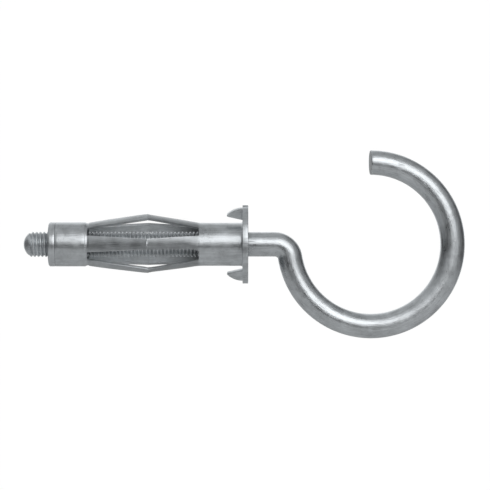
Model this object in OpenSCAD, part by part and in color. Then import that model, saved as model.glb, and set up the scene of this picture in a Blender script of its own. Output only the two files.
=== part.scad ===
// Hollow wall anchor with a screw hook, as it sits in a wall: axis along X, hook in the XZ plane, tip up.
// Millimetres. The origin is the centre of the flange's wall face, and the hook stands out toward plus X.

/* [Sleeve] */
// Outside diameter of the plain tube behind the flange
tube_d = 8.6; // [7:0.1:12]
// Sheet thickness of the tube and the legs
tube_wall = 0.5; // [0.4:0.05:0.9]
// Plain tube between the wall face and the slots
plain_len = 8.7; // [5:0.1:20]
// Length of the slots along the axis
slot_len = 22.2; // [14:0.1:40]
// Length of the end collar that holds the nut
collar_len = 6.4; // [4:0.1:10]
// How far the pressed nut swells the collar's radius
collar_swell = 0.12; // [0:0.02:0.3]

/* [Legs] */
// Number of legs
leg_count = 5; // [3:1:6]
// Angle of the first leg around the axis, from the tip side of the hook
leg_turn = 89; // [0:0.1:120]
// Share of each leg's pitch that is metal at its roots
root_share = 0.65; // [0.4:0.01:0.8]
// Share of each leg's pitch that is metal at the knee
knee_share = 0.38; // [0.25:0.01:0.6]
// How far the knees stand out from the tube
knee_rise = 1.65; // [0.6:0.05:3]
// Place of the knee along the slots, from their nut end
knee_place = 0.54; // [0.35:0.005:0.65]

/* [Flange] */
// Outside diameter of the flange
flange_d = 15.8; // [12:0.1:24]
// Thickness of the flange and of its teeth
flange_t = 1.15; // [0.8:0.05:2]
// Radius where the tube turns into the flange
flange_fillet = 0.35; // [0.3:0.05:1]
// How far the teeth reach behind the wall face
tooth_len = 3.1; // [1.5:0.1:5]
// Angle of the first tooth around the axis, from the tip side of the hook
tooth_turn = 20; // [0:1:170]

/* [Nut] */
// Thickness of the nut's flange
nut_flange_t = 1.4; // [1:0.05:3]
// Chamfer on the nut's outer end, across and along
nut_chamfer = 0.5; // [0.2:0.05:0.8]

/* [Hook] */
// Nominal diameter of the thread
thread_d = 5; // [4:0.5:6]
// Radial clearance between the thread and the nut's bore
thread_gap = 0.05; // [0.03:0.01:0.15]
// Diameter of the bent wire
wire_d = 4.9; // [3.8:0.1:5.9]
// Thread that sticks out past the nut
thread_out = 5.05; // [2:0.05:12]
// Radius of the domed thread end
dome_r = 2.85; // [2.55:0.05:5]
// Straight wire from the wall face to the bend
neck_len = 6.5; // [4:0.1:20]
// Radius of the tight bend, to the middle of the wire
bend_r = 3.05; // [2.95:0.05:6]
// Inside diameter of the hook
hook_inside = 27.8; // [18:0.1:50]
// Angle of the tip around the hook, from the anchor's axis
tip_angle = 91; // [45:1:110]

/* [Hidden] */
$fn = 64;
tube_r = tube_d / 2;
bore_r = tube_r - tube_wall;
flange_r = flange_d / 2;
thread_r = thread_d / 2;
wire_r = wire_d / 2;
zinc = [0.70, 0.72, 0.74];
zinc_nut = [0.66, 0.68, 0.70];

// Places along the axis, with the wall face at zero and the hook at plus
slot_near = -plain_len;
slot_far = slot_near - slot_len;
sleeve_end = slot_far - collar_len;
nut_end = sleeve_end - nut_flange_t;
thread_end = nut_end - thread_out;
knee_x = slot_far + knee_place * slot_len;

// Legs: two straight lengths of the tube's own wall, tilted out from the slots' ends to meet at the knee
leg_pitch = 360 / leg_count;
root_half = tube_r * sin(leg_pitch * root_share / 2);
knee_half = tube_r * sin(leg_pitch * knee_share / 2);
root_bite = 0.5;
far_tilt = atan2(knee_rise, knee_x - slot_far);
near_tilt = atan2(knee_rise, slot_near - knee_x);
leg_in = bore_r * 0.6;
leg_out = tube_r + knee_rise + 1;

// Collar and nut
collar_r = tube_r + collar_swell;
swell_len = collar_len - 0.6;
spigot_r = collar_r - tube_wall - 0.01;
edge = 0.15;

// Teeth
tooth_in = tube_r + flange_fillet + 0.7;
tooth_out = sqrt(pow(flange_r, 2) - pow(flange_t, 2)) - 0.02;
tooth_tip = tooth_in + 0.42 * (tooth_out - tooth_in);

// Hook: the bend's circle touches the axis and the hook's circle
ring_r = hook_inside / 2 + wire_r;
ring_x = neck_len + sqrt(pow(ring_r, 2) + 2 * bend_r * ring_r);
turn_start = asin(bend_r / (bend_r + ring_r));
runout_x = -2.5;
bend_thin = 0.03;
lap = 3;

// Turns a shape made along Z to lie along X, with its own X up
module along_x() {
    rotate([180, -90, 0])
        children();
}

// Rod along the nut side of a leg
module far_rod(radius) {
    translate([0, 0, slot_far])
        rotate([0, far_tilt, 0])
            translate([0, 0, -3])
                cylinder(r = radius, h = slot_len + 6);
}

// Rod along the flange side of a leg
module near_rod(radius) {
    translate([0, 0, slot_near])
        rotate([0, 180 - near_tilt, 0])
            translate([0, 0, -3])
                cylinder(r = radius, h = slot_len + 6);
}

// Outline of a leg, narrowest at the knee, seen along its radius
module leg_outline() {
    translate([leg_in, 0, 0])
        rotate([0, 90, 0])
            linear_extrude(height = leg_out - leg_in)
                polygon([
                    [root_bite - slot_far, root_half],
                    [-knee_x, knee_half],
                    [-slot_near - root_bite, root_half],
                    [-slot_near - root_bite, -root_half],
                    [-knee_x, -knee_half],
                    [root_bite - slot_far, -root_half]
                ]);
}

// One leg: what lies inside both outer rods and not inside both inner ones, which folds it at the knee
module leg() {
    intersection() {
        leg_outline();
        difference() {
            intersection() {
                far_rod(tube_r);
                near_rod(tube_r);
            }
            intersection() {
                far_rod(bore_r);
                near_rod(bore_r);
            }
        }
    }
}

// Collar at the far end, swollen where the nut sits in it
module collar() {
    rotate_extrude()
        polygon([
            [collar_r - tube_wall, sleeve_end],
            [collar_r - edge, sleeve_end],
            [collar_r, sleeve_end + edge],
            [collar_r, sleeve_end + swell_len],
            [tube_r, sleeve_end + swell_len + 0.3],
            [tube_r, slot_far],
            [bore_r, slot_far],
            [bore_r, sleeve_end + swell_len + 0.3],
            [collar_r - tube_wall, sleeve_end + swell_len]
        ]);
}

// Plain tube with the flange it turns into
module flanged_tube() {
    lip = 0.15;
    mouth = flange_t * 0.6;
    rotate_extrude()
        difference() {
            union() {
                translate([bore_r, slot_near])
                    square([tube_wall, plain_len + flange_t]);
                translate([tube_r - tube_wall / 2, 0])
                    square([flange_r - tube_r + tube_wall / 2, flange_t]);
                translate([tube_r - tube_wall / 2, -flange_fillet])
                    square([tube_wall / 2 + flange_fillet, 2 * flange_fillet]);
            }
            translate([tube_r + flange_fillet, -flange_fillet])
                circle(r = flange_fillet);
            difference() {
                translate([flange_r - lip, flange_t - lip])
                    square(lip + 1);
                translate([flange_r - lip, flange_t - lip])
                    circle(r = lip);
            }
            difference() {
                translate([bore_r - 1, flange_t - mouth])
                    square(mouth + 1);
                translate([bore_r + mouth, flange_t - mouth])
                    circle(r = mouth);
            }
        }
}

// Tooth folded back from the flange, at the edge of its notch
module tooth() {
    translate([0, flange_t, 0])
        rotate([90, 0, 0])
            linear_extrude(height = flange_t)
                polygon([
                    [tooth_in, flange_t / 2],
                    [tooth_in, 0],
                    [tooth_tip - 0.12, -tooth_len + 0.1],
                    [tooth_tip + 0.05, -tooth_len],
                    [tooth_tip + 0.25, -tooth_len + 0.12],
                    [tooth_out - 0.49 * (tooth_out - tooth_tip), -tooth_len * 0.765],
                    [tooth_out - 0.24 * (tooth_out - tooth_tip), -tooth_len * 0.535],
                    [tooth_out - 0.05 * (tooth_out - tooth_tip), -tooth_len * 0.3],
                    [tooth_out, -tooth_len * 0.12],
                    [tooth_out, flange_t / 2]
                ]);
}

// Notch that the folded tooth left open
module tooth_notch() {
    translate([0, 0, -1])
        linear_extrude(height = flange_t + 2)
            polygon([
                [tooth_in, 0],
                [flange_r + 1, 0],
                [flange_r + 1, -tooth_len - 0.6],
                [tooth_tip + 0.4, -tooth_len - 0.6],
                [tooth_tip, -tooth_len]
            ]);
}

module sleeve() {
    color(zinc)
        along_x()
            union() {
                collar();
                for (i = [0 : leg_count - 1])
                    rotate([0, 0, leg_turn + i * leg_pitch])
                        leg();
                difference() {
                    flanged_tube();
                    for (a = [0, 180])
                        rotate([0, 0, tooth_turn + a])
                            tooth_notch();
                }
                for (a = [0, 180])
                    rotate([0, 0, tooth_turn + a])
                        tooth();
            }
}

module nut() {
    hole_r = thread_r + thread_gap;
    lead = 0.3;
    color(zinc_nut)
        along_x()
            rotate_extrude()
                polygon([
                    [hole_r + lead, nut_end],
                    [collar_r - nut_chamfer * 0.8, nut_end],
                    [collar_r, nut_end + nut_chamfer],
                    [collar_r, sleeve_end - edge],
                    [collar_r - edge, sleeve_end],
                    [spigot_r, sleeve_end],
                    [spigot_r, sleeve_end + swell_len - 0.5],
                    [spigot_r - 0.4, sleeve_end + swell_len - 0.1],
                    [hole_r, sleeve_end + swell_len - 0.1],
                    [hole_r, nut_end + lead]
                ]);
}

// Threaded end with its dome, and the straight wire up to the bend
module shank() {
    along_x()
        rotate_extrude()
            union() {
                intersection() {
                    translate([0, thread_end])
                        square([thread_r, dome_r]);
                    translate([0, thread_end + dome_r])
                        circle(r = dome_r);
                }
                polygon([
                    [0, thread_end + dome_r],
                    [thread_r, thread_end + dome_r],
                    [thread_r, runout_x],
                    [wire_r, runout_x + 0.5],
                    [wire_r, neck_len],
                    [0, neck_len]
                ]);
            }
}

// Wire of the given radius bent round Z, from one angle over another
module bent_wire(thick_r, radius, start, sweep) {
    rotate([0, 0, start])
        rotate_extrude(angle = sweep)
            translate([radius, 0])
                circle(r = thick_r);
}

// The tight bend draws the wire a little thinner, and its ends run into the shank and the hook
module hook() {
    color(zinc)
        union() {
            shank();
            rotate([90, 0, 0])
                translate([neck_len, -bend_r, 0])
                    bent_wire(wire_r - bend_thin, bend_r, turn_start - lap, 90 - turn_start + 2 * lap);
            rotate([90, 0, 0])
                translate([ring_x, 0, 0])
                    bent_wire(wire_r, ring_r, 180 + turn_start, 180 + tip_angle - turn_start);
        }
}

sleeve();
nut();
hook();
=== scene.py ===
import math

import bmesh
import bpy
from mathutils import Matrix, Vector


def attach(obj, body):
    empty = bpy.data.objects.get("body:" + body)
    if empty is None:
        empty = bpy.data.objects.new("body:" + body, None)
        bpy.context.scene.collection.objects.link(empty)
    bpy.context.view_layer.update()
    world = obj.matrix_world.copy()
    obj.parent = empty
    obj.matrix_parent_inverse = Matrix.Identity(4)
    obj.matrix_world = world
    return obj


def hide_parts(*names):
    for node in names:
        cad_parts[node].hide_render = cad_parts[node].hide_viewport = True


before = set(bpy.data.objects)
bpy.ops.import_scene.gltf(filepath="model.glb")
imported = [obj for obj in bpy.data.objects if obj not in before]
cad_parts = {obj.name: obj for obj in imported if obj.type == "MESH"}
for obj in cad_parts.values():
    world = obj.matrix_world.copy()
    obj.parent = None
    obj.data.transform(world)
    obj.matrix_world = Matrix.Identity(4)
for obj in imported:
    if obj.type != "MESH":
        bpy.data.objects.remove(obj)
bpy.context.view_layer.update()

MM = 0.001

# Sizes in millimetres: the CAD model's main sizes, with the scene's own small details among them
TUBE_R = 4.3
WALL = 0.5
SLOT_NEAR = -8.7
SLOT_FAR = -30.9
SLEEVE_END = -37.3
COLLAR_R = 4.42
SWELL_END = SLEEVE_END + 5.8
STEP_LENGTH = 0.34  # the swollen collar falls to the tube's size over this length
LEG_TURN = 89.0
LEG_PITCH = 72.0
KNEE_X = SLOT_FAR + 0.54 * 22.2
KNEE_RISE = 1.65
KNEE_ROUND = 0.028  # rounding of the fold at the knee
KNEE_MAKEUP = 0.012  # gives back part of the height that the rounding takes
RIDGE = 0.03  # small ridge that the fold throws up along the knee
RIDGE_HALF = 0.09
ROOT_ROUND = 0.03  # rounding where a leg leaves the tube
# What forming left on each leg, from the front one round by the bottom to the top one
LEG_RISE = (1.0, 0.8, 1.0, 1.0, 1.0)  # share of the knee's rise
KNEE_LEAN = (1.0, 5.0, 3.0, 1.0, -1.0)  # sideways lean at the knee, in degrees
# turn about the leg's own length in degrees, on the far and the near side of the knee
KNEE_TWIST = ((5.5, 7.0), (-8.0, -1.0), (-1.0, -1.0), (1.0, 1.0), (9.0, 4.0))
KNEE_BLEND = 2.0  # length over which the far side's shape passes into the near side's
KNEE_FLAT = 0.32  # share of the tube's curve that the fold presses out of a leg at its knee
FRONT_FLAT_HIGH = 0.05  # the same share on the front leg, above its middle
FRONT_FLAT_LOW = (0.65, 0.95)  # and below it, on the far and the near side of the knee
ROOT_DENT = 0.13  # depth of the crease where a leg leaves the collar
ROOT_SWELL = 0.05  # height of the tube's faint swell in front of each leg
ROOT_SWELL_LENGTH = 1.6
ROOT_HALF = TUBE_R * math.sin(math.radians(LEG_PITCH * 0.65 / 2))
KNEE_HALF = TUBE_R * math.sin(math.radians(LEG_PITCH * 0.41 / 2))
FRONT_LOW = 1.06  # half width of the front leg below its middle, on the near side of its knee
FRONT_FLARE = 0.34  # what it widens by over its last millimetre before the tube
ROOT_BITE = 0.5  # how far a leg's straight edges run on past the slots' ends
SHEET_EDGE = 0.07  # rounding of the sleeve's cut edges
TOOTH_EDGE = 0.06
FLANGE_R = 7.9
FLANGE_T = 1.15
FILLET = 0.35
TOOTH_TURN = 20.0
TOOTH_LEN = 3.1
TOOTH_IN = TUBE_R + FILLET + 0.88
TOOTH_OUT = math.sqrt(FLANGE_R**2 - FLANGE_T**2) - 0.02
TOOTH_TIP = TOOTH_IN + 0.36 * (TOOTH_OUT - TOOTH_IN)
TIP_LOW, TIP_HIGH = TOOTH_TIP - 0.1, TOOTH_TIP + 0.19  # inner and outer corner of the blunt tip
TOOTH_CURVE = 2.1  # power of the curve that the tooth's outer edge follows
NUT_END = -38.7
BUSH_LENGTH = 5.7  # how far the nut reaches into the collar
BUSH_CHAMFER = 0.4
BUSH_PLAY = 0.01  # gap that keeps the pressed faces apart
HOLE_PLAY = 0.05
HOLE_CHAMFER = 0.3
THREAD_END = -43.75
THREAD_R = 2.5
PITCH = 0.748
THREAD_DEPTH = 0.32
CREST_LAND = 0.08  # share of half a pitch that is flat on the crest
FLANK = 0.9  # and the share that the rounded flank takes
THREAD_START = THREAD_END + 0.35  # the thread grows to its depth from here
THREAD_GROW = 0.8
THREAD_FADE = -4.6  # and runs out from here
FADE_LENGTH = 2.1
TAPER_START = -4.5  # the thread's diameter passes into the wire's from here
TAPER_LENGTH = 2.0
THREAD_STOP = -2.4  # plain wire from here on
DOME_R = 2.85
DOME_ARC = 61.3  # degrees of the dome up to the thread
WIRE_R = 2.45
NECK = 6.5
BEND_R = 3.05
BEND_PINCH = 0.05  # how far the tight bend flattens the wire's outside
RING_R = 16.35
TIP = math.radians(91)
TIP_CUT = -0.17  # middle of the cut tip, from the wire's full length
TIP_SLANT = 0.075  # slope of the cut toward the viewer
RING_X = NECK + math.sqrt(RING_R**2 + 2 * BEND_R * RING_R)
TURN = math.asin(BEND_R / (BEND_R + RING_R))
BEND_SWEEP = math.pi / 2 - TURN
RING_SWEEP = math.pi + TIP - TURN
WIRE_LENGTH = NECK - THREAD_END + BEND_R * BEND_SWEEP + RING_R * RING_SWEEP


def place(r, deg, x):
    """World point at radius r and angle deg round the axis, from up toward the viewer, at x along it."""
    a = math.radians(deg)
    return Vector((x, -r * math.sin(a), r * math.cos(a))) * MM


def make(name, verts, faces, uvs=None, smooth=True):
    """New object from points and faces, with its normals turned outward."""
    mesh = bpy.data.meshes.new(name)
    mesh.from_pydata([tuple(v) for v in verts], [], faces)
    mesh.update()
    if uvs:
        layer = mesh.uv_layers.new(name="UVMap")
        for loop in mesh.loops:
            layer.data[loop.index].uv = uvs[loop.vertex_index]
    bm = bmesh.new()
    bm.from_mesh(mesh)
    bmesh.ops.recalc_face_normals(bm, faces=bm.faces)
    bm.to_mesh(mesh)
    bm.free()
    if smooth:
        mesh.shade_smooth()
    else:
        mesh.shade_flat()
    obj = bpy.data.objects.new(name, mesh)
    bpy.context.scene.collection.objects.link(obj)
    return obj


def apply_all(obj):
    """Turn the object's modifiers into mesh."""
    bpy.context.view_layer.update()
    graph = bpy.context.evaluated_depsgraph_get()
    mesh = bpy.data.meshes.new_from_object(obj.evaluated_get(graph))
    obj.modifiers.clear()
    obj.data = mesh


def soften(obj, width, angle):
    """Round every edge that is sharper than angle, and shade the rest smooth."""
    m = obj.modifiers.new("edges", "BEVEL")
    m.width = width * MM
    m.segments = 2
    m.limit_method = "ANGLE"
    m.angle_limit = math.radians(angle)
    apply_all(obj)
    shade(obj, angle)


def shade(obj, angle):
    """Smooth shading, apart from edges that are sharper than angle."""
    obj.data.shade_smooth()
    obj.data.set_sharp_from_angle(angle=math.radians(angle))


def smin(a, b, k):
    """The smaller of two values, with a rounded change-over of about k."""
    return -k * math.log(math.exp(-a / k) + math.exp(-b / k))


def ease(t):
    """Soft step from 0 at 0 to 1 at 1."""
    t = min(max(t, 0.0), 1.0)
    return t * t * (3 - 2 * t)


def blend(a, b, t):
    """Straight from a at 0 to b at 1."""
    return a + (b - a) * t


def ramp(a, b, n):
    """The first n of n + 1 even steps from a to b."""
    return [blend(a, b, i / n) for i in range(n)]


# Sleeve: one sheet laid out as a grid along the axis and round it, with the slots left out
def leg_rise(x):
    """Height of a leg's roof-shaped fold over the tube, with a small ridge on its knee."""
    far = KNEE_RISE * (x - SLOT_FAR) / (KNEE_X - SLOT_FAR)
    near = KNEE_RISE * (SLOT_NEAR - x) / (SLOT_NEAR - KNEE_X)
    ridge = RIDGE * math.exp(-(((x - KNEE_X) / RIDGE_HALF) ** 2))
    d = smin(far, near, KNEE_ROUND) + KNEE_MAKEUP + ridge
    return -smin(-d, 0.0, ROOT_ROUND)


def leg_half(x):
    """Half of a leg's width, least at its knee."""
    if x <= KNEE_X:
        t = (x - SLOT_FAR + ROOT_BITE) / (KNEE_X - SLOT_FAR + ROOT_BITE)
    else:
        t = (SLOT_NEAR + ROOT_BITE - x) / (SLOT_NEAR + ROOT_BITE - KNEE_X)
    return blend(ROOT_HALF, KNEE_HALF, min(max(t, 0.0), 1.0))


def burr(dx, up, rise):
    """Small flat pressed up by the fold on the leg that faces the viewer, over its own rise.

    It lies half_length to each side of the knee and from low to high up the leg.
    """
    half_length, low, high = 0.26, -0.45, 0.95
    height, fall_along, fall_up = 0.06, 0.14, 0.16
    flat = KNEE_RISE + height - fall_along * dx + fall_up * ((low + high) / 2 - up)
    hold = ease((half_length - abs(dx)) / 0.08) * ease((up - low) / 0.16) * ease((high - up) / 0.2)
    return hold * max(flat - rise, 0.0)


def leg_point(i, mid, half, deg, r, x):
    """Point of leg i, whose middle is at the angle mid and which is half wide each way there."""
    rise = leg_rise(x)
    share = rise / KNEE_RISE
    rise *= LEG_RISE[i]
    off = math.radians(deg - mid)
    near_side = ease((x - KNEE_X) / KNEE_BLEND + 0.5)
    flat, twist_share = KNEE_FLAT, share
    if i == 0:
        flat, twist_share = FRONT_FLAT_HIGH, ease(share * 4)
        if off > 0:
            flat = blend(*FRONT_FLAT_LOW, near_side)
            # the slot's edge under the front leg's near half runs straight
            low = FRONT_LOW + FRONT_FLARE * ease(x - SLOT_NEAR + 1.0)
            off *= 1 + ease((x - KNEE_X) / 0.5) * (low / half - 1)
            deg = mid + math.degrees(off)
    lean = mid + KNEE_LEAN[i] * ease(share)
    sag = TUBE_R * (1 - math.cos(off))
    middle = TUBE_R * (1 - math.cos(math.asin(half / TUBE_R))) / 3
    lift = (flat * sag - KNEE_FLAT * middle) * ease(share * 3)
    twist = blend(*KNEE_TWIST[i], near_side)
    lift -= math.tan(math.radians(twist)) * TUBE_R * math.sin(off) * twist_share
    if i == 0:
        lift += burr(x - KNEE_X, r * math.cos(math.radians(deg)), rise)
    return place(r, lean + deg - mid, x) + place(rise + lift, lean, 0.0)


def build_sleeve():
    """Collar, legs, tube and notched flange as one sheet with two faces."""
    rows = []  # (kind, outer (r, x), inner (r, x))
    e = SLEEVE_END
    end = [(e, 0.09), (e + 0.05, 0.03), (e + 0.13, 0.0)]
    for x, cut in end:
        rows.append(("ring", (COLLAR_R - cut, x), (COLLAR_R - WALL, x)))
    for x in ramp(e + 0.6, SWELL_END, 8):
        rows.append(("ring", (COLLAR_R, x), (COLLAR_R - WALL, x)))
    for i in range(7):
        t = i / 6
        x = SWELL_END + STEP_LENGTH * t
        s = (COLLAR_R - TUBE_R) * (1 - ease(t))
        rows.append(("ring", (TUBE_R + s, x), (TUBE_R + s - WALL, x)))
    rows.append(("ring", (TUBE_R, SLOT_FAR - 0.12), (TUBE_R - WALL, SLOT_FAR - 0.12)))
    legs = [SLOT_FAR, SLOT_FAR + 0.12, SLOT_FAR + 0.3, SLOT_FAR + 0.6, SLOT_FAR + 1.1]
    legs += ramp(SLOT_FAR + 1.8, KNEE_X - 0.7, 12)
    by_knee = (0.05, 0.1, 0.16, 0.25, 0.4, 0.7)
    legs += [KNEE_X - d for d in by_knee[::-1]] + [KNEE_X] + [KNEE_X + d for d in by_knee]
    legs += ramp(KNEE_X + 1.4, SLOT_NEAR - 1.4, 11)
    legs += [SLOT_NEAR - 1.4, SLOT_NEAR - 0.9, SLOT_NEAR - 0.5, SLOT_NEAR - 0.2, SLOT_NEAR]
    for x in legs:
        rows.append(("leg", (TUBE_R, x), (TUBE_R - WALL, x)))
    bore = TUBE_R - WALL
    for x in [SLOT_NEAR + 0.12, SLOT_NEAR + 0.4, SLOT_NEAR + 0.8, SLOT_NEAR + 1.3, SLOT_NEAR + 2.0]:
        rows.append(("ring", (TUBE_R, x), (bore, x)))
    for x in ramp(SLOT_NEAR + 3.0, -FILLET, 6):
        rows.append(("ring", (TUBE_R, x), (bore, x)))
    mouth = FLANGE_T * 0.6
    n = 12
    for i in range(n + 1):
        t = i / n
        a = math.radians(90 * t)
        outer = (TUBE_R + FILLET - FILLET * math.cos(a), -FILLET + FILLET * math.sin(a))
        if t < 0.25:
            inner = (bore, -FILLET + (FLANGE_T - mouth + FILLET) * t / 0.25)
        else:
            b = math.radians(90 * (t - 0.25) / 0.75)
            inner = (bore + mouth - mouth * math.cos(b), FLANGE_T - mouth + mouth * math.sin(b))
        rows.append(("ring", outer, inner))
    for r in (5.0, 5.6, 6.3, 7.0, 7.45, 7.68):
        rows.append(("ring", (r, 0.0), (r, FLANGE_T)))
    lip, back_edge = 0.15, 0.06  # rounding of the flange's front rim and bevel of its back one
    for i in range(1, 6):
        a = math.radians(90 * i / 5)
        inner = (FLANGE_R - lip + lip * math.sin(a), FLANGE_T - lip + lip * math.cos(a))
        outer = (FLANGE_R - lip + (lip - back_edge) * i / 5, 0.0)
        rows.append(("ring", outer, inner))
    rows.append(("ring", (FLANGE_R, back_edge), (FLANGE_R, FLANGE_T - lip - 0.2)))

    cols_leg, cols_slot = 14, 8
    cols = []  # (leg index, across the leg -1..1 or across the slot 0..1, in slot)
    for i in range(5):
        for j in range(cols_leg):
            cols.append((i, -1 + 2 * j / cols_leg, False))
        for j in range(cols_slot):
            cols.append((i, j / cols_slot, True))
    ncol, nrow = len(cols), len(rows)

    def angle_at(col, half):
        edge = math.degrees(math.asin(half / TUBE_R))
        i, t, slot = col
        mid = LEG_TURN + i * LEG_PITCH
        if slot:
            return mid + edge + (LEG_PITCH - 2 * edge) * t
        return mid + math.degrees(math.asin(t * half / TUBE_R))

    def point(kind, col, r, x):
        i, t, slot = col
        mid = LEG_TURN + i * LEG_PITCH
        half = leg_half(min(max(x, SLOT_FAR), SLOT_NEAR))
        deg = angle_at(col, half)
        r -= ROOT_DENT * math.exp(-(((x - SLOT_FAR - 0.05) / 0.2) ** 2))
        if kind == "leg" and (not slot or t == 0):
            return leg_point(i, mid, half, deg, r, x)
        swell = 0.0
        if x > SLOT_NEAR and not slot:
            # the tube keeps a faint swell just past the slots where the legs bend out
            fall = 1 - ease((x - SLOT_NEAR) / ROOT_SWELL_LENGTH)
            swell = ROOT_SWELL * fall * math.cos(math.pi / 2 * t)
        return place(r, deg, x) + place(1.0, mid, 0.0) * swell

    verts, uvs = [], []
    run = 0.0
    for k, (kind, outer, inner) in enumerate(rows):
        if k:
            run += math.dist(outer, rows[k - 1][1])
        for face in (outer, inner):
            for c, col in enumerate(cols):
                verts.append(point(kind, col, *face))
                uvs.append((run * MM, c / ncol))

    def vid(k, c, inner):
        return (2 * k + (1 if inner else 0)) * ncol + c % ncol

    def filled(k, c):
        if k < 0 or k >= nrow - 1:
            return False
        both_leg = rows[k][0] == "leg" and rows[k + 1][0] == "leg"
        return not (both_leg and cols[c % ncol][2])

    faces = []
    for k in range(nrow - 1):
        for c in range(ncol):
            if not filled(k, c):
                continue
            # corners of this piece of sheet: outer (o) and inner (i) face, this row (0) and the next (1)
            o0a, o0b, i0a, i0b = (vid(k, b, inner) for inner in (False, True) for b in (c, c + 1))
            o1a, o1b, i1a, i1b = (vid(k + 1, b, inner) for inner in (False, True) for b in (c, c + 1))
            faces.append((o0a, o0b, o1b, o1a))
            faces.append((i0a, i1a, i1b, i0b))
            if not filled(k - 1, c):
                faces.append((i0a, i0b, o0b, o0a))
            if not filled(k + 1, c):
                faces.append((o1a, o1b, i1b, i1a))
            if not filled(k, c - 1):
                faces.append((o0a, o1a, i1a, i0a))
            if not filled(k, c + 1):
                faces.append((i0b, i1b, o1b, o0b))
    obj = make("sleeve_sheet", verts, faces, uvs)

    # The notches that the two teeth were folded out of
    for turn in (0, 180):
        outline = [
            (TOOTH_IN, 0.0),
            (FLANGE_R + 1, 0.0),
            (FLANGE_R + 1, -TOOTH_LEN - 0.6),
            (TOOTH_TIP + 0.4, -TOOTH_LEN - 0.6),
            (TOOTH_TIP, -TOOTH_LEN),
        ]
        cut = prism("cut", outline, -1.0, FLANGE_T + 1.0, TOOTH_TURN + turn)
        m = obj.modifiers.new("notch", "BOOLEAN")
        m.operation = "DIFFERENCE"
        m.solver = "EXACT"
        m.object = cut
        apply_all(obj)
        bpy.data.objects.remove(cut)
    bm = bmesh.new()
    bm.from_mesh(obj.data)
    bmesh.ops.remove_doubles(bm, verts=bm.verts, dist=2e-6)
    bmesh.ops.dissolve_degenerate(bm, edges=bm.edges, dist=2e-6)
    bm.to_mesh(obj.data)
    bm.free()
    soften(obj, SHEET_EDGE, 40)
    return obj


def turned(points, turn):
    """Points (along the radius, across it toward the viewer's side, along the axis) turned round the axis."""
    out = []
    for r, u, x in points:
        deg = math.degrees(math.atan2(u, r)) + turn
        out.append(place(math.hypot(r, u), deg, x))
    return out


def prism(name, outline, x0, x1, turn):
    """Block between x0 and x1 whose outline is given along and across the radius."""
    n = len(outline)
    verts = turned([(r, u, x0) for r, u in outline] + [(r, u, x1) for r, u in outline], turn)
    faces = [tuple(range(n))[::-1], tuple(range(n, 2 * n))]
    faces += [(i, (i + 1) % n, n + (i + 1) % n, n + i) for i in range(n)]
    return make(name, verts, faces, smooth=False)


def build_tooth(turn):
    """Flap folded back from the flange, with its edges rounded."""
    def reach(x):
        # inner and outer edge of the flap at the axial place x
        s = min(max(-x / TOOTH_LEN, 0.0), 1.0)
        return blend(TOOTH_IN, TIP_LOW, s), blend(TOOTH_OUT, TIP_HIGH, s**TOOTH_CURVE)

    shares = (0.06, 0.13, 0.2, 0.25, 0.29, 0.33, 0.45, 0.6, 0.75, 0.88, 0.96, 1.0)
    stations = [0.55, 0.3, 0.1, 0.0] + [-TOOTH_LEN * t for t in shares]
    across = 8
    verts, uvs = [], []
    for x in stations:
        low, high = reach(x)
        # the last tenth is nipped in a little
        nip = 0.05 * max(-x / TOOTH_LEN - 0.9, 0.0) / 0.1
        for u in (0.0, FLANGE_T):
            for j in range(across + 1):
                r = low + nip + (high - low - 2 * nip) * (j / across)
                verts.append((r, u, x))
                uvs.append((x * MM, (r + u) * 0.03))
    n = across + 1
    faces = []

    def v(k, s, j):
        return (2 * k + s) * n + j

    last = len(stations) - 1
    for k in range(last):
        for j in range(across):
            faces.append((v(k, 0, j), v(k, 0, j + 1), v(k + 1, 0, j + 1), v(k + 1, 0, j)))
            faces.append((v(k, 1, j), v(k + 1, 1, j), v(k + 1, 1, j + 1), v(k, 1, j + 1)))
        for j in (0, across):
            faces.append((v(k, 0, j), v(k, 1, j), v(k + 1, 1, j), v(k + 1, 0, j)))
    for k in (0, last):
        for j in range(across):
            faces.append((v(k, 0, j), v(k, 0, j + 1), v(k, 1, j + 1), v(k, 1, j)))
    obj = make("tooth", turned(verts, turn), faces, uvs)
    soften(obj, TOOTH_EDGE, 40)
    return obj


def join(first, others):
    """Take the other objects' meshes into the first one."""
    bm = bmesh.new()
    bm.from_mesh(first.data)
    for o in others:
        bm.from_mesh(o.data)
        bpy.data.objects.remove(o)
    bm.to_mesh(first.data)
    bm.free()


def lathe(name, profile, segments=96):
    """Closed ring of (r, x) points turned round the axis."""
    n = len(profile)
    verts, uvs = [], []
    run = [0.0]
    for i in range(1, n):
        run.append(run[-1] + math.dist(profile[i], profile[i - 1]))
    for s in range(segments):
        for i, (r, x) in enumerate(profile):
            verts.append(place(r, 360 * s / segments, x))
            uvs.append((run[i] * MM, s / segments))
    faces = []
    for s in range(segments):
        t = (s + 1) % segments
        for i in range(n):
            j = (i + 1) % n
            faces.append((s * n + i, s * n + j, t * n + j, t * n + i))
    return make(name, verts, faces, uvs)


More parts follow.
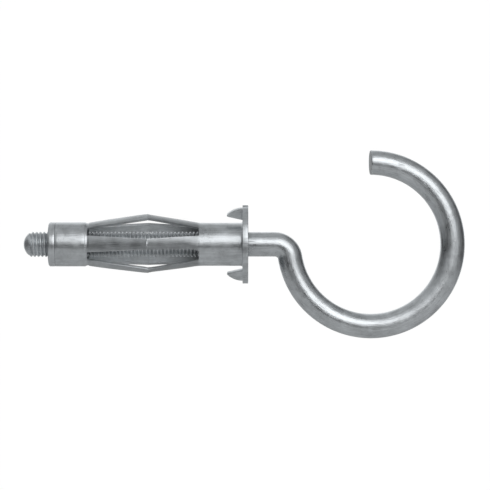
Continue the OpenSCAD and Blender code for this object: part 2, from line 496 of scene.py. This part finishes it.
def build_nut():
    """Bush with an open hole, and the rounded flange that shows behind the sleeve's end."""
    hole = THREAD_R + HOLE_PLAY
    e = SLEEVE_END
    c = COLLAR_R
    bush = c - WALL - BUSH_PLAY
    profile = [
        (hole + HOLE_CHAMFER, NUT_END),
        (3.3, NUT_END),
        (c - 0.32, NUT_END),
        (c - 0.24, NUT_END + 0.013),
        (c - 0.13, NUT_END + 0.07),
        (c - 0.05, NUT_END + 0.16),
        (c - 0.012, NUT_END + 0.25),
        (c, NUT_END + 0.35),
        (c, e - 0.5),
        (c, e - 0.13),
        (c - 0.03, e - 0.05),
        (c - 0.09, e),
        (bush, e),
        (bush, e + BUSH_LENGTH - BUSH_CHAMFER),
        (bush - BUSH_CHAMFER, e + BUSH_LENGTH),
        (hole, e + BUSH_LENGTH),
        (hole, NUT_END + HOLE_CHAMFER),
    ]
    obj = lathe("nut_body", profile)
    shade(obj, 35)
    return obj


# Hook: one wire swept along its path, with the rolled thread on its straight end
def thread_cut(x, deg):
    """Depth of the thread under its crest at x along the wire and deg round it."""
    t = (x / PITCH - deg / 360.0) % 1.0
    t = abs(t - 0.5) * 2  # 1 on the crest, 0 in the root
    f = ease((1 - t - CREST_LAND) / FLANK) ** 1.5
    start = ease((x - THREAD_START) / THREAD_GROW)
    finish = 1 - ease((x - THREAD_FADE) / FADE_LENGTH)
    return THREAD_DEPTH * f * start * finish


def build_hook():
    """The whole wire: domed thread, shank, tight bend, open ring and cut tip."""
    around = 48
    verts, faces, uvs = [], [], []

    def ring(center, normal, side, radii, u):
        # one loop of points round the wire; radii gives the radius at an angle from normal toward side
        base = len(verts)
        for s in range(around):
            a = 2 * math.pi * s / around
            r = radii(360.0 * s / around)
            verts.append((center + normal * (r * math.cos(a)) + side * (r * math.sin(a))) * MM)
            uvs.append((u * MM, s / around))
        return base

    toward = Vector((0, -1, 0))
    up = Vector((0, 0, 1))
    bases = []
    tip = len(verts)
    verts.append(Vector((THREAD_END, 0, 0)) * MM)
    uvs.append((0, 0.5))
    xs = []
    for i in range(1, 9):
        a = math.radians(DOME_ARC * i / 8)
        xs.append(THREAD_END + DOME_R * (1 - math.cos(a)))
    step = PITCH / 12
    x = xs[-1] + step
    while x < THREAD_STOP:
        xs.append(x)
        x += step
    for x in xs:
        h = x - THREAD_END
        dome = math.sqrt(max(DOME_R**2 - (DOME_R - h) ** 2, 0)) if h < DOME_R else math.inf
        taper = WIRE_R + (THREAD_R - WIRE_R) * (1 - ease((x - TAPER_START) / TAPER_LENGTH))
        bases.append(
            ring(Vector((x, 0, 0)), up, toward, lambda d: min(dome, taper - thread_cut(x, d)), h)
        )
    x = THREAD_STOP + 0.1
    while x < NECK - 0.01:
        bases.append(ring(Vector((x, 0, 0)), up, toward, lambda d: WIRE_R, x - THREAD_END))
        x += 0.4
    run = NECK - THREAD_END
    n = 40
    for i in range(n + 1):
        t = i / n
        a = math.pi / 2 - BEND_SWEEP * t
        normal = Vector((math.cos(a), 0, math.sin(a)))
        center = Vector((NECK, 0, -BEND_R)) + normal * BEND_R
        tight = math.sin(math.pi * t) ** 1.5

        def radii(d, tight=tight):
            # the bend flattens the wire a little on its outside
            c = math.cos(math.radians(d))
            return WIRE_R - tight * (BEND_PINCH * max(c, 0) ** 2)

        bases.append(ring(center, normal, toward, radii, run + BEND_R * BEND_SWEEP * t))
    run += BEND_R * BEND_SWEEP
    n = 190

    def along_ring(off):
        # place on the ring's middle line, off millimetres past the wire's end,
        # with the outward and the forward direction there
        a = TIP + off / RING_R
        out = Vector((math.cos(a), 0, math.sin(a)))
        return Vector((RING_X, 0, 0)) + out * RING_R, out, Vector((-math.sin(a), 0, math.cos(a)))

    length = RING_R * RING_SWEEP
    plain_end = length - 0.8
    for i in range(1, n + 1):
        done = plain_end * i / n
        center, out, _ = along_ring(done - length)
        bases.append(ring(center, -out, toward, lambda d: WIRE_R, run + done))
    run += length
    # cut tip: slanted a little toward the viewer, with a small rounded edge
    # and the slight dish that a cutter leaves
    face = [(0.0, -0.12), (0.02, -0.06), (0.06, -0.02), (0.14, 0.0)]
    face += [(0.6, 0.0), (1.3, -0.02), (2.0, -0.03)]
    for inset, off in face:
        center, out, forward = along_ring(TIP_CUT + off)
        side = toward - forward * TIP_SLANT
        u = run + TIP_CUT + off + inset * 2
        bases.append(ring(center, -out, side, lambda d: WIRE_R - inset, u))
    end, _, _ = along_ring(TIP_CUT - 0.03)
    close = len(verts)
    verts.append(end * MM)
    uvs.append((run * MM, 0.5))
    for s in range(around):
        t = (s + 1) % around
        faces.append((tip, bases[0] + s, bases[0] + t))
        faces.append((close, bases[-1] + t, bases[-1] + s))
    for b0, b1 in zip(bases, bases[1:]):
        for s in range(around):
            t = (s + 1) % around
            faces.append((b0 + s, b1 + s, b1 + t, b0 + t))
    obj = make("hook_wire", verts, faces, uvs)
    shade(obj, 50)
    return obj


def zinc(name, color, rough, streak, fleck, mottle, grain, zones=(), corner_light=0.3):
    """Zinc plating: mottled tone, streaks along the metal's drawn direction, fine grain and dull specks, with
    painted shade in the corners.

    streak and fleck are the scales of these marks along and round the metal. corner_light is how light the
    painted corner shade leaves the corners. Each zone is a stretch of another tone and roughness, with a soft
    edge.
    """
    mat = bpy.data.materials.new(name)
    mat.use_nodes = True
    tree = mat.node_tree
    nodes, links = tree.nodes, tree.links
    bsdf = nodes["Principled BSDF"]
    bsdf.inputs["Metallic"].default_value = 1.0
    bsdf.inputs["IOR"].default_value = 1.5
    coord = nodes.new("ShaderNodeTexCoord")

    def noise(vector, scale, detail, roughness=0.6, distortion=0.0):
        n = nodes.new("ShaderNodeTexNoise")
        n.inputs["Scale"].default_value = scale
        n.inputs["Detail"].default_value = detail
        n.inputs["Roughness"].default_value = roughness
        n.inputs["Distortion"].default_value = distortion
        links.new(vector, n.inputs["Vector"])
        return n.outputs["Fac"]

    def math_node(op, a, b):
        n = nodes.new("ShaderNodeMath")
        n.operation = op
        for socket, value in zip(n.inputs, (a, b)):
            if isinstance(value, (int, float)):
                socket.default_value = value
            else:
                links.new(value, socket)
        return n.outputs[0]

    def remap(value, lo, hi, a, b):
        n = nodes.new("ShaderNodeMapRange")
        n.inputs["From Min"].default_value = lo
        n.inputs["From Max"].default_value = hi
        n.inputs["To Min"].default_value = a
        n.inputs["To Max"].default_value = b
        links.new(value, n.inputs["Value"])
        return n.outputs["Result"]

    lanes = nodes.new("ShaderNodeMapping")
    lanes.inputs["Scale"].default_value = streak
    links.new(coord.outputs["UV"], lanes.inputs["Vector"])
    patches = noise(coord.outputs["Object"], 420.0, 5.0, 0.62, 0.4)
    fine = noise(coord.outputs["Object"], 5200.0, 3.0, 0.7)
    drawn = noise(lanes.outputs["Vector"], 1.0, 4.0, 0.65)
    short = nodes.new("ShaderNodeMapping")
    short.inputs["Scale"].default_value = fleck
    links.new(coord.outputs["UV"], short.inputs["Vector"])
    flecks = noise(short.outputs["Vector"], 1.0, 3.0, 0.6)
    long = nodes.new("ShaderNodeMapping")
    long.inputs["Scale"].default_value = (fleck[0] * 0.45, fleck[1] * 1.4, 1.0)
    links.new(coord.outputs["UV"], long.inputs["Vector"])
    speck = remap(noise(long.outputs["Vector"], 1.0, 3.0, 0.6), 0.54, 0.66, 0.0, 1.0)
    rare = remap(noise(coord.outputs["Object"], 260.0, 2.0), 0.48, 0.6, 0.15, 1.0)
    speck = math_node("MULTIPLY", speck, rare)

    tone = math_node("ADD", math_node("MULTIPLY", remap(patches, 0.3, 0.7, -1, 1), mottle),
                     math_node("MULTIPLY", remap(drawn, 0.3, 0.7, -1, 1), mottle * 0.7))
    tone = math_node("SUBTRACT", tone, math_node("MULTIPLY", speck, 0.2))
    factor = remap(tone, -0.5, 0.5, 0.0, 1.0)
    mix = nodes.new("ShaderNodeMix")
    mix.data_type = "RGBA"
    links.new(factor, mix.inputs["Factor"])
    mix.inputs["A"].default_value = (color[0] * 0.5, color[1] * 0.5, color[2] * 0.5, 1)
    mix.inputs["B"].default_value = (color[0] * 1.5, color[1] * 1.5, color[2] * 1.5, 1)

    # painted shade: corners and crevices are coloured darker by their ambient occlusion
    corner = nodes.new("ShaderNodeAmbientOcclusion")
    corner.samples = 6
    corner.inputs["Distance"].default_value = 0.0012
    painted_shade_and_tone = remap(corner.outputs["AO"], 0.1, 0.6, corner_light, 1.0)
    # each zone's tone is multiplied into the painted corner shade
    extra = []
    for source, start, stop, edge, tone_there, rough_there in zones:
        split = nodes.new("ShaderNodeSeparateXYZ")
        links.new(coord.outputs[source], split.inputs[0])
        zone_mask = math_node("MULTIPLY", remap(split.outputs["X"], start - edge, start + edge, 0.0, 1.0),
                         remap(split.outputs["X"], stop - edge, stop + edge, 1.0, 0.0))
        painted_shade_and_tone = math_node("MULTIPLY", painted_shade_and_tone, remap(zone_mask, 0.0, 1.0, 1.0, tone_there))
        extra.append(math_node("MULTIPLY", zone_mask, rough_there))
    # the base colour is multiplied by the painted shade and the zones' tones
    shaded_color = nodes.new("ShaderNodeMix")
    shaded_color.data_type = "RGBA"
    shaded_color.blend_type = "MULTIPLY"
    shaded_color.inputs["Factor"].default_value = 1.0
    links.new(mix.outputs["Result"], shaded_color.inputs["A"])
    links.new(painted_shade_and_tone, shaded_color.inputs["B"])
    links.new(shaded_color.outputs["Result"], bsdf.inputs["Base Color"])

    dull = math_node("ADD", remap(patches, 0.3, 0.7, rough - 0.05, rough + 0.06),
                     remap(drawn, 0.3, 0.7, -0.03, 0.04))
    dull = math_node("ADD", dull, remap(fine, 0.3, 0.7, -0.025, 0.025))
    dull = math_node("ADD", dull, math_node("MULTIPLY", speck, 0.2))
    for more in extra:
        dull = math_node("ADD", dull, more)
    links.new(dull, bsdf.inputs["Roughness"])

    height = math_node("ADD", math_node("MULTIPLY", fine, 0.5), math_node("MULTIPLY", drawn, 0.6))
    height = math_node("ADD", height, math_node("MULTIPLY", patches, 1.6))
    height = math_node("ADD", height, math_node("MULTIPLY", flecks, 2.6))
    height = math_node("SUBTRACT", height, math_node("MULTIPLY", speck, 0.8))
    bump = nodes.new("ShaderNodeBump")
    bump.inputs["Strength"].default_value = grain
    bump.inputs["Distance"].default_value = 0.00002
    links.new(height, bump.inputs["Height"])
    links.new(bump.outputs["Normal"], bsdf.inputs["Normal"])
    return mat


def ring_u(deg):
    """The wire's own length coordinate at an angle on the ring, in metres."""
    return (WIRE_LENGTH + (math.radians(deg) - TIP) * RING_R) * MM


def dress(obj, mat, body, node):
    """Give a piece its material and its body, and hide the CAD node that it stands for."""
    obj.data.materials.clear()
    obj.data.materials.append(mat)
    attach(obj, body)
    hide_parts(node)


sleeve = build_sleeve()
join(sleeve, [build_tooth(TOOTH_TURN), build_tooth(TOOTH_TURN + 180)])
nut = build_nut()
hook = build_hook()

SHEET_TONE = (0.50, 0.52, 0.535)
INSIDE_LIT_TONE = (0.68, 0.70, 0.715)
WIRE_TONE = (0.51, 0.53, 0.545)
SHEET_STREAK, SHEET_FLECK = (90.0, 95.0, 1.0), (900.0, 70.0, 1.0)
NUT_STREAK, NUT_FLECK = (9000.0, 2.0, 1.0), (1500.0, 50.0, 1.0)
WIRE_STREAK, WIRE_FLECK = (110.0, 44.0, 1.0), (1000.0, 48.0, 1.0)
# Zones: coordinates, start, stop and soft edge in metres, tone, added roughness
EDGE = 0.0003
FAR_OUT = 1.0  # past either end of the part
# painted shade: the legs between the slots' ends are coloured darker, with a little added roughness
LEG_SHADE_ZONES = [
    ("Object", SLOT_FAR * MM, SLOT_NEAR * MM, EDGE, 0.83, 0.04),
    ("Object", KNEE_X * MM, SLOT_NEAR * MM, EDGE, 0.77, 0.0),  # painted shade, darker still on their near side
]
INSIDE_SHADE_ZONES = [("Object", -0.0125, FAR_OUT, 0.0035, 0.42, 0.0)]  # painted shade, dimmer toward the closed tube
BARE_END, THREAD_U = 0.0065, 0.0395  # the wire's length up to the sleeve's end and to where its thread fades
WIRE_ZONES = [
    ("UV", WIRE_LENGTH * MM, FAR_OUT, EDGE, 0.55, 0.25),  # the cut face
    ("UV", -FAR_OUT, THREAD_U, EDGE, 1.04, 0.08),
    ("UV", BARE_END, THREAD_U, EDGE, 1.05, 0.03),
    ("UV", ring_u(-85), ring_u(-18), 0.006, 1.03, 0.06),  # a duller stretch low on the ring's right
]

sheet = zinc("zinc_sheet", SHEET_TONE, 0.32, SHEET_STREAK, SHEET_FLECK, mottle=0.2, grain=0.4,
             zones=LEG_SHADE_ZONES)
dress(sleeve, sheet, "anchor", "sleeve")
# the legs' inner faces are coloured paler than the outside, which is painted light, and are duller
inside = zinc("zinc_inside_lit", INSIDE_LIT_TONE, 0.46, SHEET_STREAK, SHEET_FLECK, mottle=0.16, grain=0.3,
              zones=INSIDE_SHADE_ZONES)
sleeve.data.materials.append(inside)
for face in sleeve.data.polygons:
    c = face.center
    outward = face.normal.dot(Vector((0, c.y, c.z)).normalized())
    if SLOT_FAR * MM < c.x < SLOT_NEAR * MM and outward < -0.5:
        face.material_index = 1
bright = zinc("zinc_turned", WIRE_TONE, 0.32, NUT_STREAK, NUT_FLECK, mottle=0.14, grain=0.35)
dress(nut, bright, "anchor", "nut")
wire = zinc("zinc_wire", WIRE_TONE, 0.30, WIRE_STREAK, WIRE_FLECK, mottle=0.18, grain=0.55,
            zones=WIRE_ZONES, corner_light=0.9)
dress(hook, wire, "screw_hook", "hook")


# Stage: a pale floor under the part, and a white backdrop all round that only the camera sees
def plain(name, color, glow=0.0):
    """Matt stage paint, which may glow white."""
    mat = bpy.data.materials.new(name)
    mat.use_nodes = True
    b = mat.node_tree.nodes["Principled BSDF"]
    b.inputs["Base Color"].default_value = (*color, 1)
    b.inputs["Roughness"].default_value = 0.9
    b.inputs["Emission Color"].default_value = (1, 1, 1, 1)
    b.inputs["Emission Strength"].default_value = glow
    return mat


def card(name, center, toward, width, height, mat):
    """A flat card at center that faces toward, width across and height up."""
    c = Vector(center)
    z = (Vector(toward) - c).normalized()
    x = Vector((0, 0, 1)).cross(z).normalized()
    y = z.cross(x)
    corners = ((-1, -1), (1, -1), (1, 1), (-1, 1))
    pts = [c + x * (sx * width / 2) + y * (sy * height / 2) for sx, sy in corners]
    obj = make(name, pts, [(0, 1, 2, 3)], smooth=False)
    obj.data.materials.append(mat)
    return obj


def disc(name, radii, z, mat, filled=False):
    """Flat round stage piece from the first radius to the last; filled closes its middle too."""
    n = 96
    verts, faces = [], []
    for r in radii:
        for i in range(n):
            a = 2 * math.pi * i / n
            verts.append(Vector((r * math.cos(a), r * math.sin(a), z)))
    for k in range(len(radii) - 1):
        for i in range(n):
            j = (i + 1) % n
            faces.append((k * n + i, k * n + j, (k + 1) * n + j, (k + 1) * n + i))
    if filled:
        faces.append(tuple(range(n)))
    obj = make(name, verts, faces, smooth=False)
    obj.data.materials.append(mat)
    return obj


def fade_paint(inner, outer, z):
    """Clear at the inner radius and the backdrop's white at the outer one: the floor shows no far edge."""
    mat = plain("fade_paint", (0, 0, 0), 1.0)
    nodes, links = mat.node_tree.nodes, mat.node_tree.links
    coord = nodes.new("ShaderNodeTexCoord")
    far = nodes.new("ShaderNodeVectorMath")
    far.operation = "LENGTH"
    links.new(coord.outputs["Object"], far.inputs[0])
    step = nodes.new("ShaderNodeMapRange")
    step.interpolation_type = "SMOOTHSTEP"
    step.inputs["From Min"].default_value = math.hypot(inner, z)
    step.inputs["From Max"].default_value = math.hypot(outer * 0.94, z)
    links.new(far.outputs["Value"], step.inputs["Value"])
    links.new(step.outputs["Result"], nodes["Principled BSDF"].inputs["Alpha"])
    return mat


FLOOR_Z = -0.11
FADE_Z = -0.1095
FADE_IN, FADE_OUT = 0.12, 0.5
disc("floor", (0.001, 0.25, 0.49), FLOOR_Z, plain("floor_paint", (0.78, 0.78, 0.78)), filled=True)
fade = disc("floor_fade", (FADE_IN, 0.3, FADE_OUT), FADE_Z, fade_paint(FADE_IN, FADE_OUT, FADE_Z))
dome_bm = bmesh.new()
bmesh.ops.create_icosphere(dome_bm, subdivisions=3, radius=4.0)
dome_mesh = bpy.data.meshes.new("backdrop")
dome_bm.to_mesh(dome_mesh)
dome_bm.free()
backdrop = bpy.data.objects.new("backdrop", dome_mesh)
bpy.context.scene.collection.objects.link(backdrop)
backdrop.data.materials.append(plain("backdrop_paint", (0, 0, 0), 1.0))
for obj in (backdrop, fade):
    for flag in ("visible_diffuse", "visible_glossy", "visible_transmission", "visible_shadow"):
        setattr(obj, flag, False)

scene = bpy.context.scene
world = bpy.data.worlds.new("studio")
scene.world = world
world.use_nodes = True


def studio(tree):
    """Grey room, darker at both sides, white behind the part, with two faint pale patches above."""
    nodes, links = tree.nodes, tree.links
    back = nodes["Background"]
    coord = nodes.new("ShaderNodeTexCoord")

    def lobe(azimuth, elevation, squash, outer, inner, low, high):
        # soft patch round a direction, low outside the outer angle and high inside the inner one,
        # flattened by squash; azimuth runs from the camera's side to its right
        a, e = math.radians(azimuth), math.radians(elevation)
        aim = Vector((math.sin(a) * math.cos(e), -math.cos(a) * math.cos(e), math.sin(e) * squash))
        aim.normalize()
        scale = nodes.new("ShaderNodeVectorMath")
        scale.operation = "MULTIPLY"
        scale.inputs[1].default_value = (1, 1, squash)
        links.new(coord.outputs["Generated"], scale.inputs[0])
        unit = nodes.new("ShaderNodeVectorMath")
        unit.operation = "NORMALIZE"
        links.new(scale.outputs[0], unit.inputs[0])
        dot = nodes.new("ShaderNodeVectorMath")
        dot.operation = "DOT_PRODUCT"
        dot.inputs[1].default_value = aim
        links.new(unit.outputs[0], dot.inputs[0])
        step = nodes.new("ShaderNodeMapRange")
        step.interpolation_type = "SMOOTHSTEP"
        step.inputs["From Min"].default_value = math.cos(math.radians(outer))
        step.inputs["From Max"].default_value = math.cos(math.radians(inner))
        step.inputs["To Min"].default_value = low
        step.inputs["To Max"].default_value = high
        links.new(dot.outputs["Value"], step.inputs["Value"])
        return step.outputs["Result"]

    def both(op, a, b):
        n = nodes.new("ShaderNodeMath")
        n.operation = op
        links.new(a, n.inputs[0])
        links.new(b, n.inputs[1])
        return n.outputs[0]

    level = lobe(-84, -1, 2.3, 66, 24, 0.45, 0.07)  # the room, dark on the left
    level = both("MULTIPLY", level, lobe(98, -15, 1.25, 54, 18, 1.0, 0.2))  # dark on the right
    level = both("MULTIPLY", level, lobe(131, 28, 0.8, 38, 14, 1.0, 0.36))  # dim high at the back right
    level = both("ADD", level, lobe(180, 6, 1.0, 50, 12, 0.0, 0.9))  # white behind the part
    level = both("ADD", level, lobe(-40, 32, 1.5, 34, 10, 0.0, 0.2))  # pale patch at the front left
    level = both("ADD", level, lobe(-135, 44, 1.5, 42, 12, 0.0, 0.16))  # and at the back left
    links.new(level, back.inputs["Strength"])
    back.inputs["Color"].default_value = (0.97, 0.99, 1.0, 1)


studio(world.node_tree)


def softbox(name, elevation, azimuth, distance, width, height, radiance):
    """Area light that faces the origin, at an elevation and an azimuth to the camera's right in degrees."""
    e, a = math.radians(elevation), math.radians(azimuth)
    pos = Vector((math.sin(a) * math.cos(e), -math.cos(a) * math.cos(e), math.sin(e))) * distance
    data = bpy.data.lights.new(name, "AREA")
    data.shape = "ELLIPSE"
    data.size = width
    data.size_y = height
    data.energy = radiance * math.pi * width * height
    obj = bpy.data.objects.new(name, data)
    obj.location = pos
    obj.rotation_euler = (-pos).to_track_quat("-Z", "Y").to_euler()
    obj.visible_camera = False
    scene.collection.objects.link(obj)


softbox("key", elevation=27, azimuth=19, distance=0.6, width=0.62, height=0.54, radiance=1.42)
# dark cloth low in front, which the underside of the metal mirrors
cloth = plain("dark_cloth", (0.03, 0.03, 0.03))
low_flag = card("dark_low", (-0.13, -0.35, -0.066), (-0.1, 0, 0), width=0.66, height=0.122, mat=cloth)
low_flag.visible_camera = False

cam_data = bpy.data.cameras.new("camera")
cam = bpy.data.objects.new("camera", cam_data)
scene.collection.objects.link(cam)
DISTANCE = 0.5
FIELD = 0.098  # width of the photograph's frame at the part
SENSOR = 36
cam.location = (0.5 * MM, -DISTANCE, -0.14 * MM)
cam.rotation_euler = (math.radians(90), 0, 0)
cam_data.sensor_width = SENSOR
cam_data.sensor_height = SENSOR
cam_data.lens = SENSOR * DISTANCE / FIELD
cam_data.clip_start = 0.01
cam_data.clip_end = 20
scene.camera = cam
scene.view_settings.view_transform = "Standard"

bpy.context.view_layer.update()
